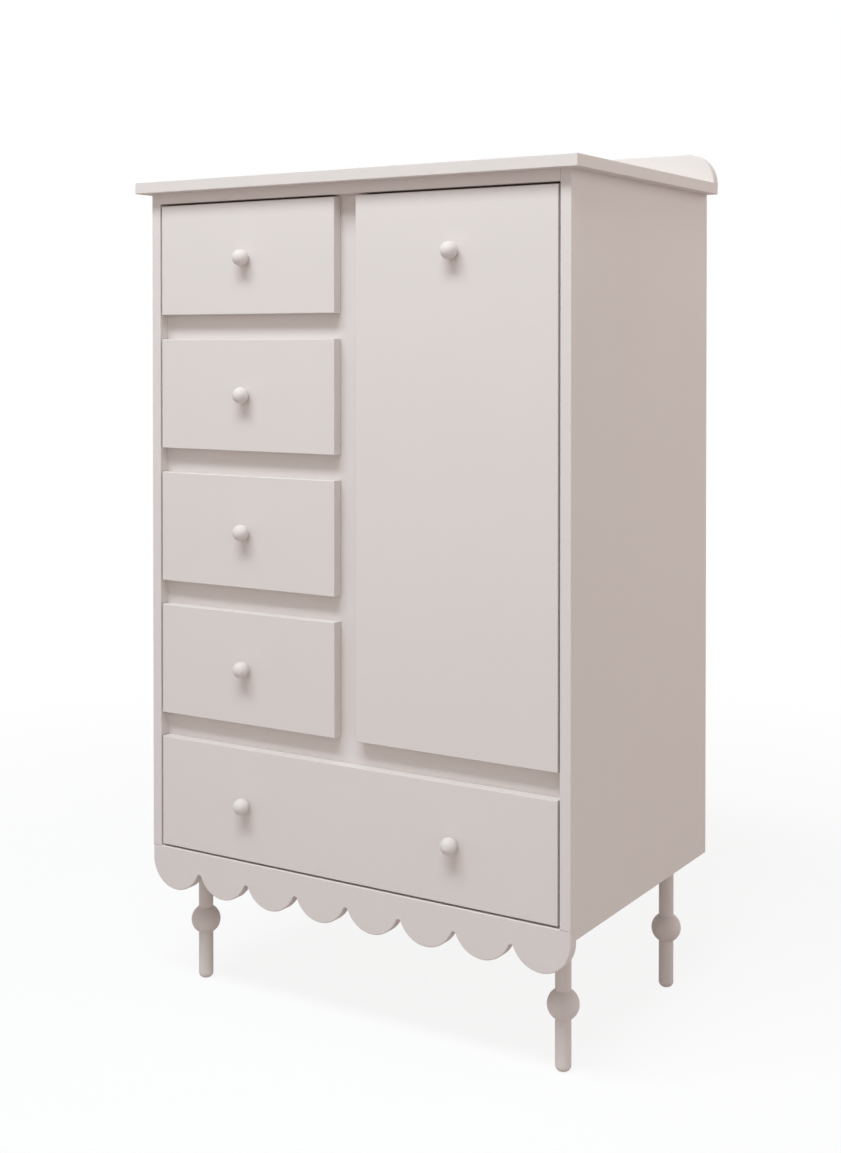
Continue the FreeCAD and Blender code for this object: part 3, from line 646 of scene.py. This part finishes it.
@dataclass(frozen=True)
class ZincPlatedSteel(Finish):
    """Pressed or turned steel with bright zinc plate.

    The eye sees a cool grey metal with a slightly cloudy shine and fine drawing marks.
    """

    light: str = "#CDD0D3"
    dark: str = "#AEB2B7"
    cloud_mm: float = 7.0
    roughness: float = 0.3
    roughness_spread: float = 0.09
    # Drawing marks are hundredths of a millimetre wide; they are drawn at 0.7 mm to show here.
    mark_mm: float = 0.7
    mark_stretch: float = 14.0
    mark_height_mm: float = 0.006

    def lay_out(self, tree: bpy.types.NodeTree) -> bpy.types.Node:
        """Cloud the plate and draw the marks.

        Args:
            tree: The material's node tree.

        Returns:
            The shader of the plate.
        """
        place = add_node(tree, "ShaderNodeTexCoord").outputs["Object"]
        clouds = add_node(
            tree,
            "ShaderNodeTexNoise",
            values={"Scale": 1 / (self.cloud_mm * MM), "Detail": 3.0},
            links={"Vector": place},
        ).outputs["Fac"]
        tone = add_node(
            tree,
            "ShaderNodeMix",
            {"data_type": "RGBA"},
            {MIX_COLOUR_A: linear(self.dark), MIX_COLOUR_B: linear(self.light)},
            {MIX_FACTOR: clouds},
        )
        gloss = add_node(
            tree,
            "ShaderNodeMapRange",
            values={
                "To Min": self.roughness - self.roughness_spread,
                "To Max": self.roughness + self.roughness_spread,
            },
            links={"Value": clouds},
        )
        fine = 1 / (self.mark_mm * MM)
        mark_place = add_node(
            tree,
            "ShaderNodeVectorMath",
            {"operation": "MULTIPLY"},
            {1: (fine, fine / self.mark_stretch, fine)},
            {0: place},
        )
        marks = add_node(
            tree,
            "ShaderNodeTexNoise",
            values={"Scale": 1.0, "Detail": 2.0},
            links={"Vector": mark_place.outputs[0]},
        )
        relief = add_node(
            tree,
            "ShaderNodeBump",
            values={"Distance": self.mark_height_mm * MM},
            links={"Height": marks.outputs["Fac"]},
        )
        return add_node(
            tree,
            "ShaderNodeBsdfPrincipled",
            values={"Metallic": 1.0},
            links={
                "Base Color": tone.outputs[MIX_COLOUR],
                "Roughness": gloss.outputs["Result"],
                "Normal": relief.outputs["Normal"],
            },
        )


@dataclass(frozen=True)
class PaperFloor(Finish):
    """A matt pale paper roll under even light.

    The eye sees plain white that carries only the object's soft shadow, while the paper throws warm
    grey light back at the object.
    """

    lit: str = "#F7F7F6"
    plain: str = "#FFFFFF"
    bounced: str = "#C5B9B5"
    # Up to the near distance this share of the paper shows plain, and from the far one all; in metres.
    plain_near: float = 0.86
    near: float = 1.0
    far: float = 2.6

    def lay_out(self, tree: bpy.types.NodeTree) -> bpy.types.Node:
        """Show white paper to the eye and the bounced tone to all other light.

        Args:
            tree: The material's node tree.

        Returns:
            The shader of the paper.
        """
        place = add_node(tree, "ShaderNodeTexCoord").outputs["Object"]
        reach = add_node(tree, "ShaderNodeVectorMath", {"operation": "LENGTH"}, links={0: place})
        plainness = add_node(
            tree,
            "ShaderNodeMapRange",
            values={
                "From Min": self.near,
                "From Max": self.far,
                "To Min": self.plain_near,
                "To Max": 1.0,
            },
            links={"Value": reach.outputs["Value"]},
        )
        shaded = add_node(tree, "ShaderNodeBsdfDiffuse", values={"Color": linear(self.lit)})
        plain = add_node(
            tree, "ShaderNodeEmission", values={"Color": linear(self.plain), "Strength": 1.0}
        )
        shown = add_node(
            tree,
            "ShaderNodeMixShader",
            links={0: plainness.outputs["Result"], 1: shaded.outputs[0], 2: plain.outputs[0]},
        )
        bounce = add_node(tree, "ShaderNodeBsdfDiffuse", values={"Color": linear(self.bounced)})
        return add_node(
            tree,
            "ShaderNodeMixShader",
            links={0: seen_directly(tree), 1: bounce.outputs[0], 2: shown.outputs[0]},
        )


BOARD_PAINT = SatinPaint("satin_paint_sprayed_on_board")
LEG_PAINT = SatinPaint("satin_paint_on_turned_leg", Substrate.TURNED_UPRIGHT)
KNOB_PAINT = SatinPaint("satin_paint_on_turned_knob", Substrate.TURNED_FORWARD)
BACK_PAINT = RolledPaint("matt_paint_rolled_on_hardboard")
PLYWOOD_SHEET = BirchPlywood("lacquered_birch_plywood_sheet")
BEECH = WaxedBeech("waxed_planed_beech")
STEEL = ZincPlatedSteel("zinc_plated_pressed_steel")
FLOOR = PaperFloor("matt_white_paper_floor")


def give_finish(finish: Finish, *nodes: str) -> None:
    """Give CAD nodes their finish.

    Args:
        finish: The finish for all of their faces.
        *nodes: The nodes' names.
    """
    for node in nodes:
        for slot in frame["nodes"][node].material_slots:
            slot.material = finish.material()
        LOG.info("%s: %s", node, finish.name)


def solid_boxes(node: str) -> list[tuple[Vector, Vector]]:
    """Find the separate solids in a CAD node.

    Args:
        node: The node's name.

    Returns:
        The lowest and highest corner of each solid, in metres.
    """
    mesh = frame["nodes"][node].data
    keys = [tuple(round(c / SAME_POINT) for c in vertex.co) for vertex in mesh.vertices]
    leader: dict[tuple[int, ...], tuple[int, ...]] = {key: key for key in keys}

    def first_of_group(key: tuple[int, ...]) -> tuple[int, ...]:
        """Follow a point to the leader of its group.

        Args:
            key: The point.

        Returns:
            The point that stands for all points of the same solid.
        """
        while leader[key] != key:
            leader[key] = leader[leader[key]]
            key = leader[key]
        return key

    for polygon in mesh.polygons:
        first = first_of_group(keys[polygon.vertices[0]])
        for index in polygon.vertices[1:]:
            leader[first_of_group(keys[index])] = first
    groups: dict[tuple[int, ...], list[Vector]] = {}
    for vertex, key in zip(mesh.vertices, keys):
        groups.setdefault(first_of_group(key), []).append(vertex.co)
    boxes = []
    for points in groups.values():
        low = Vector(min(point[axis] for point in points) for axis in range(3))
        high = Vector(max(point[axis] for point in points) for axis in range(3))
        boxes.append((low, high))
    return boxes


def join_rings(bm: bmesh.types.BMesh, lower: Ring, upper: Ring) -> None:
    """Close the wall between two rings of as many points.

    Args:
        bm: The mesh that takes the faces.
        lower: The first ring.
        upper: The second ring, with its points in the same order.
    """
    for step in range(len(lower)):
        after = (step + 1) % len(lower)
        bm.faces.new((lower[step], lower[after], upper[after], upper[step]))


def lathe(
    bm: bmesh.types.BMesh, profile: Iterable[tuple[float, float]], stand: Matrix, segments: int
) -> list[Ring]:
    """Turn a profile about the Z axis of a frame.

    Args:
        bm: The mesh that takes the faces.
        profile: Radius and height of each ring, in metres.
        stand: The frame in which the turned piece stands.
        segments: Steps round the turn.

    Returns:
        The rings, in the profile's order.
    """
    turns = [2 * math.pi * step / segments for step in range(segments)]
    rings = []
    for radius, height in profile:
        points = [Vector((radius * math.cos(turn), radius * math.sin(turn), height)) for turn in turns]
        rings.append([bm.verts.new(stand @ point) for point in points])
    for lower, upper in zip(rings, rings[1:]):
        join_rings(bm, lower, upper)
    return rings


def add_fixing(name: str, bm: bmesh.types.BMesh, body: str) -> bpy.types.Object:
    """Turn built faces into a steel piece that rides on a CAD body.

    Args:
        name: The piece's name.
        bm: The faces, in the part's frame, in metres.
        body: The CAD body that carries the piece.

    Returns:
        The new object.
    """
    bmesh.ops.recalc_face_normals(bm, faces=bm.faces)
    mesh = bpy.data.meshes.new(name)
    bm.to_mesh(mesh)
    bm.free()
    mesh.polygons.foreach_set("use_smooth", [True] * len(mesh.polygons))
    mesh.set_sharp_from_angle(angle=SHARP_ANGLE)
    mesh.materials.append(STEEL.material())
    piece = bpy.data.objects.new(name, mesh)
    bpy.context.scene.collection.objects.link(piece)
    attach(piece, body)
    LOG.info("%s: %d faces on %s", name, len(mesh.polygons), body)
    return piece


@dataclass(frozen=True)
class CrossHeadScrew:
    """A pan-head screw with a cross recess; sizes in millimetres."""

    head: float
    crown: float
    height: float
    shank: float
    cross_span: float
    cross_width: float
    cross_depth: float
    rim: float = 0.3
    # Rings of the rounded edges round the crown and the head's foot, in rims outward and up from each.
    crown_rings: tuple[tuple[float, float], ...] = ((-1.0, 0.0), (-0.3, -0.25), (0.2, -1.0))
    foot_rings: tuple[tuple[float, float], ...] = ((-0.2, 1.0), (0.0, 0.4), (0.0, 0.0))
    # The tip is this share of the shank's length, and this share as wide at its end.
    tip_length: float = 0.08
    tip_width: float = 0.3
    # The floor of the recess is this share as wide as its mouth.
    cross_taper: float = 0.62
    segments: int = 36

    def build(self, bm: bmesh.types.BMesh, seat: Vector, inward: Vector, length: float) -> None:
        """Add one screw.

        Args:
            bm: The mesh that takes it.
            seat: Where the middle of the head's underside sits, in metres.
            inward: The direction in which the shank runs.
            length: The shank's length, in metres.
        """
        stand = Matrix.Translation(seat) @ (-inward).to_track_quat("Z", "Y").to_matrix().to_4x4()
        head, crown, shank = self.head / 2 * MM, self.crown / 2 * MM, self.shank / 2 * MM
        top, rim = self.height * MM, self.rim * MM
        profile = [(crown + rim * out, top + rim * up) for out, up in self.crown_rings]
        profile += [(head + rim * out, rim * up) for out, up in self.foot_rings]
        profile += [
            (shank, 0.0),
            (shank, -length * (1 - self.tip_length)),
            (shank * self.tip_width, -length),
        ]
        rings = lathe(bm, profile, stand, self.segments)
        bm.faces.new(rings[-1])
        self.cut_cross(bm, rings[0], stand)

    def cut_cross(self, bm: bmesh.types.BMesh, crown_ring: Ring, stand: Matrix) -> None:
        """Close the crown around a cross-shaped recess.

        Args:
            bm: The mesh that takes the faces.
            crown_ring: The innermost ring of the crown.
            stand: The screw's own frame.
        """
        span, width = self.cross_span / 2 * MM, self.cross_width / 2 * MM
        quarter = [(span, -width), (span, width), (width, width)]
        outline = []
        for turn in range(4):
            spin = Matrix.Rotation(turn * math.pi / 2, 4, "Z")
            outline.extend(spin @ Vector((x, y, 0.0)) for x, y in quarter)
        mouth_level = UP * self.height * MM
        floor_level = UP * (self.height - self.cross_depth) * MM
        mouth = [bm.verts.new(stand @ (point + mouth_level)) for point in outline]
        floor = [bm.verts.new(stand @ (point * self.cross_taper + floor_level)) for point in outline]
        join_rings(bm, mouth, floor)
        bm.faces.new(floor)
        border = []
        for ring in (crown_ring, mouth):
            border += [bm.edges.get(pair) for pair in zip(ring, ring[1:] + ring[:1])]
        bmesh.ops.triangle_fill(bm, use_beauty=True, edges=border)


FRONT_SCREW = CrossHeadScrew(
    head=8.0, crown=5.6, height=2.6, shank=4.0, cross_span=4.2, cross_width=1.1, cross_depth=1.6
)
HINGE_SCREW = CrossHeadScrew(
    head=7.0, crown=5.0, height=1.8, shank=3.5, cross_span=3.7, cross_width=1.0, cross_depth=1.2
)
ADJUSTING_SCREW = CrossHeadScrew(
    head=5.6, crown=4.6, height=0.8, shank=3.0, cross_span=3.2, cross_width=0.9, cross_depth=0.6, rim=0.2
)
PLATE_SCREW = CrossHeadScrew(
    head=7.5, crown=5.4, height=1.6, shank=3.5, cross_span=3.9, cross_width=1.0, cross_depth=1.1
)


@dataclass
class ScrewGroup:
    """Cross-head screws that stand for one CAD node of plain screws."""

    node: str
    body: str
    kind: CrossHeadScrew
    inward: Vector

    def build(self) -> None:
        """Build a screw on each solid of the node and hide the node."""
        bm = bmesh.new()
        axis = max(range(3), key=lambda index: abs(self.inward[index]))
        for low, high in solid_boxes(self.node):
            crown, tip = low[axis], high[axis]
            if self.inward[axis] < 0:
                crown, tip = tip, crown
            seat = (low + high) / 2
            seat[axis] = crown + self.inward[axis] * self.kind.height * MM
            self.kind.build(bm, seat, self.inward, abs(tip - seat[axis]))
        piece = add_fixing(self.node + "_cross_head", bm, self.body)
        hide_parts(self.node)


@dataclass
class Cabinet:
    """The fixed boards: carcass, top, gallery, frame, apron and shelves, with the pins of the back."""

    boards: tuple[str, ...] = (
        "left_side", "right_side", "bottom_panel", "inner_top", "top_panel", "gallery", "divider_left",
        "divider_right", "front_stile", "mid_panel", "mid_rail", "drawer_rail_1", "drawer_rail_2",
        "drawer_rail_3", "apron", "shelf_lower", "shelf_upper",
    )
    pin_spacing_mm: float = 140.0
    pin_inset_mm: float = 4.6
    pin_end_inset_mm: float = 9.2
    pin_head_mm: float = 3.0
    pin_proud_mm: float = 0.4
    # Rings of a pin's domed head, as shares of its radius and of how far it stands proud.
    pin_rings: tuple[tuple[float, float], ...] = ((1.0, -1.0), (1.0, 0.3), (0.8, 0.75), (0.4, 1.0))
    pin_segments: int = 16

    def dress(self) -> None:
        """Paint the boards, wax the runner strips and plate the shelf pins."""
        give_finish(BOARD_PAINT, *self.boards)
        give_finish(BACK_PAINT, "back_panel")
        give_finish(BEECH, "runner_strips")
        give_finish(STEEL, "shelf_pins")

    def pin_places(self) -> list[tuple[float, float]]:
        """Space the panel pins evenly along the rim of the back panel.

        Returns:
            Where each pin sits across and up the panel, in metres.
        """
        low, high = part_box("back_panel")
        spacing = self.pin_spacing_mm * MM
        inset, end_inset = self.pin_inset_mm * MM, self.pin_end_inset_mm * MM
        left, right = low.x + inset, high.x - inset
        bottom, top = low.z + end_inset, high.z - end_inset
        places = []
        rows = round((top - bottom) / spacing)
        for step in range(rows + 1):
            level = bottom + (top - bottom) * step / rows
            places += [(left, level), (right, level)]
        columns = round((right - left) / spacing)
        for step in range(1, columns):
            across = left + (right - left) * step / columns
            places += [(across, bottom), (across, top)]
        return places

    def build(self) -> None:
        """Drive the panel pins into the back panel."""
        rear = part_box("back_panel")[1].y
        radius, proud = self.pin_head_mm / 2 * MM, self.pin_proud_mm * MM
        dome = [(radius * width, proud * rise) for width, rise in self.pin_rings]
        bm = bmesh.new()
        for x, z in self.pin_places():
            stand = Matrix.Translation((x, rear, z)) @ Matrix.Rotation(-math.pi / 2, 4, "X")
            rings = lathe(bm, dome, stand, self.pin_segments)
            bm.faces.new(rings[-1])
            bm.faces.new(rings[0])
        add_fixing("back_panel_pins", bm, "carcass")


@dataclass
class Legs:
    """Turned legs with their plates, bolts and plate screws."""

    names: tuple[str, ...] = ("leg_front_left", "leg_front_right", "leg_rear_left", "leg_rear_right")
    screw_inset_mm: float = 9.0
    screw_length_mm: float = 12.0

    def dress(self) -> None:
        """Paint the legs and plate their fixings."""
        give_finish(LEG_PAINT, *self.names)
        give_finish(STEEL, "leg_plates", "leg_bolts")

    def build(self) -> None:
        """Screw each plate up into the bottom panel at its corners."""
        bm = bmesh.new()
        inset, length = self.screw_inset_mm * MM, self.screw_length_mm * MM
        for low, high in solid_boxes("leg_plates"):
            for x in (low.x + inset, high.x - inset):
                for y in (low.y + inset, high.y - inset):
                    PLATE_SCREW.build(bm, Vector((x, y, low.z)), UP, length)
        add_fixing("leg_plate_screws", bm, "carcass")


@dataclass
class Drawer:
    """One drawer: painted front, plywood box and bottom, turned knobs and screws."""

    row: int
    board_mm: float = 14.0
    # What counts as a side board reaches this far past its inner face, so that the face is part of it.
    seam_mm: float = 0.5

    def node(self, part: str) -> str:
        """Name one of the drawer's nodes."""
        return f"drawer_{self.row}_{part}"

    def dress(self) -> None:
        """Paint the front and knobs and lacquer the plywood."""
        low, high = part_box(self.node("box"))
        plywood = BirchPlywood(
            f"lacquered_birch_plywood_box_{self.row}",
            Lay.BOX,
            middle_x=(low.x + high.x) / 2,
            inner_half=(high.x - low.x) / 2 - (self.board_mm + self.seam_mm) * MM,
        )
        give_finish(BOARD_PAINT, self.node("front"))
        give_finish(KNOB_PAINT, self.node("knobs"))
        give_finish(plywood, self.node("box"))
        give_finish(PLYWOOD_SHEET, self.node("bottom"))

    def build(self) -> None:
        """Build the screws that hold the front and its knobs."""
        ScrewGroup(self.node("screws"), f"drawer_{self.row}", FRONT_SCREW, FORWARD).build()


@dataclass
class Door:
    """The cupboard door with its knob and concealed hinges."""

    hinge_nodes: tuple[str, ...] = ("hinge_cups", "hinge_links", "hinge_arms", "hinge_plates")
    # Among the solids of the hinge arms, those that are shorter from front to back are the pins.
    shortest_arm_mm: float = 8.0
    arm_depth_mm: float = 8.0
    adjuster_setbacks_mm: tuple[float, ...] = (8.0, 25.0)
    adjuster_length_mm: float = 3.0

    def dress(self) -> None:
        """Paint the door and knob and plate the hinges."""
        give_finish(BOARD_PAINT, "door_panel")
        give_finish(KNOB_PAINT, "door_knob")
        give_finish(STEEL, *self.hinge_nodes)

    def build(self) -> None:
        """Build the screws of the knob and hinges, and the arms' adjusting screws."""
        ScrewGroup("door_knob_screw", "door", FRONT_SCREW, FORWARD).build()
        ScrewGroup("hinge_cup_screws", "door", HINGE_SCREW, FORWARD).build()
        ScrewGroup("hinge_plate_screws", "carcass", HINGE_SCREW, RIGHT).build()
        bm = bmesh.new()
        for low, high in solid_boxes("hinge_arms"):
            if high.y - low.y <= self.shortest_arm_mm * MM:
                continue
            face, middle = high.x - self.arm_depth_mm * MM, (low.z + high.z) / 2
            for setback in self.adjuster_setbacks_mm:
                seat = Vector((face, high.y - setback * MM, middle))
                ADJUSTING_SCREW.build(bm, seat, RIGHT, self.adjuster_length_mm * MM)
        add_fixing("hinge_adjusting_screws", bm, "carcass")


@dataclass(frozen=True)
class Lamp:
    """A soft lamp with a wide face; metres and watts."""

    name: str
    place: tuple[float, float, float]
    size: tuple[float, float]
    power: float
    colour: str
    # The lamps are turned to the middle of the fronts.
    aim: tuple[float, float, float] = (0.0, -0.2, 0.85)

    def build(self) -> None:
        """Hang the lamp."""
        light = bpy.data.lights.new(self.name, "AREA")
        light.shape = "RECTANGLE"
        light.size, light.size_y = self.size
        light.energy = self.power
        light.color = linear(self.colour)[:3]
        lamp = bpy.data.objects.new(self.name, light)
        lamp.location = self.place
        beam = Vector(self.aim) - Vector(self.place)
        lamp.rotation_euler = beam.to_track_quat("-Z", "Y").to_euler()
        bpy.context.scene.collection.objects.link(lamp)
        LOG.info("%s: %.0f W", self.name, self.power)


@dataclass
class Studio:
    """Floor, surrounding light, lamps and the camera; metres, degrees and, for the lens, millimetres."""

    # The camera was solved from the straight edges in the photograph.
    camera_place: tuple[float, float, float] = (1.478, -2.3754, 1.103)
    camera_yaw: float = 32.08
    camera_pitch: float = -0.788
    lens_mm: float = 51.13
    sensor_mm: float = 36.0
    shift_y: float = -0.1819
    farthest_view: float = 100.0
    floor_half: float = 12.0
    sky_colour: str = "#FFFAF9"
    sky_at_horizon: float = 1.0
    sky_overhead: float = 0.0
    backdrop_colour: str = "#FFFFFF"
    lamps: tuple[Lamp, ...] = (
        Lamp("key_lamp", place=(0.0, -2.44, 4.71), size=(3.8, 1.15), power=194.0, colour="#ECF9FF"),
        Lamp("rear_lamp", place=(2.6, 2.6, 2.6), size=(2.4, 2.4), power=28.0, colour="#FFEBE4"),
    )

    def build(self) -> None:
        """Set up the whole studio."""
        self.lay_floor()
        self.light_room()
        for lamp in self.lamps:
            lamp.build()
        self.set_camera()
        bpy.context.scene.view_settings.view_transform = "Standard"

    def lay_floor(self) -> None:
        """Lay a large matt floor under the part."""
        half = self.floor_half
        corners = [(-half, -half, 0), (half, -half, 0), (half, half, 0), (-half, half, 0)]
        mesh = bpy.data.meshes.new("floor")
        mesh.from_pydata(corners, [], [(0, 1, 2, 3)])
        mesh.materials.append(FLOOR.material())
        floor = bpy.data.objects.new("floor", mesh)
        bpy.context.scene.collection.objects.link(floor)

    def light_room(self) -> None:
        """Light the part from all round, most from the horizon, and show the surroundings white."""
        world = bpy.data.worlds.new("studio")
        bpy.context.scene.world = world
        world.use_nodes = True
        tree = world.node_tree
        tree.nodes.clear()
        towards = add_node(tree, "ShaderNodeTexCoord").outputs["Generated"]
        height = add_node(tree, "ShaderNodeSeparateXYZ", links={"Vector": towards})
        level = add_node(
            tree,
            "ShaderNodeMapRange",
            values={"To Min": self.sky_at_horizon, "To Max": self.sky_overhead},
            links={"Value": height.outputs["Z"]},
        )
        soft = add_node(
            tree,
            "ShaderNodeBackground",
            values={"Color": linear(self.sky_colour)},
            links={"Strength": level.outputs["Result"]},
        )
        backdrop = add_node(
            tree,
            "ShaderNodeBackground",
            values={"Color": linear(self.backdrop_colour), "Strength": 1.0},
        )
        shown = add_node(
            tree,
            "ShaderNodeMixShader",
            links={0: seen_directly(tree), 1: soft.outputs[0], 2: backdrop.outputs[0]},
        )
        add_node(tree, "ShaderNodeOutputWorld", links={"Surface": shown.outputs[0]})

    def set_camera(self) -> None:
        """Stand the camera where the photograph was taken from."""
        data = bpy.data.cameras.new("camera")
        data.sensor_width = self.sensor_mm
        data.lens = self.lens_mm
        data.shift_y = self.shift_y
        data.clip_end = self.farthest_view
        camera = bpy.data.objects.new("camera", data)
        camera.location = self.camera_place
        tilt, turn = math.radians(90 + self.camera_pitch), math.radians(self.camera_yaw)
        camera.rotation_euler = Euler((tilt, 0.0, turn), "XYZ")
        bpy.context.scene.collection.objects.link(camera)
        bpy.context.scene.camera = camera


def main() -> None:
    """Dress and build the sub-assemblies in order, then set up the studio."""
    logging.basicConfig(level=logging.INFO, format="%(name)s %(message)s")
    drawers = [Drawer(row) for row in DRAWER_ROWS]
    assemblies: list[Cabinet | Legs | Drawer | Door] = [Cabinet(), Legs(), *drawers, Door()]
    for assembly in assemblies:
        assembly.dress()
        assembly.build()
    Studio().build()


if __name__ == "__main__":
    main()
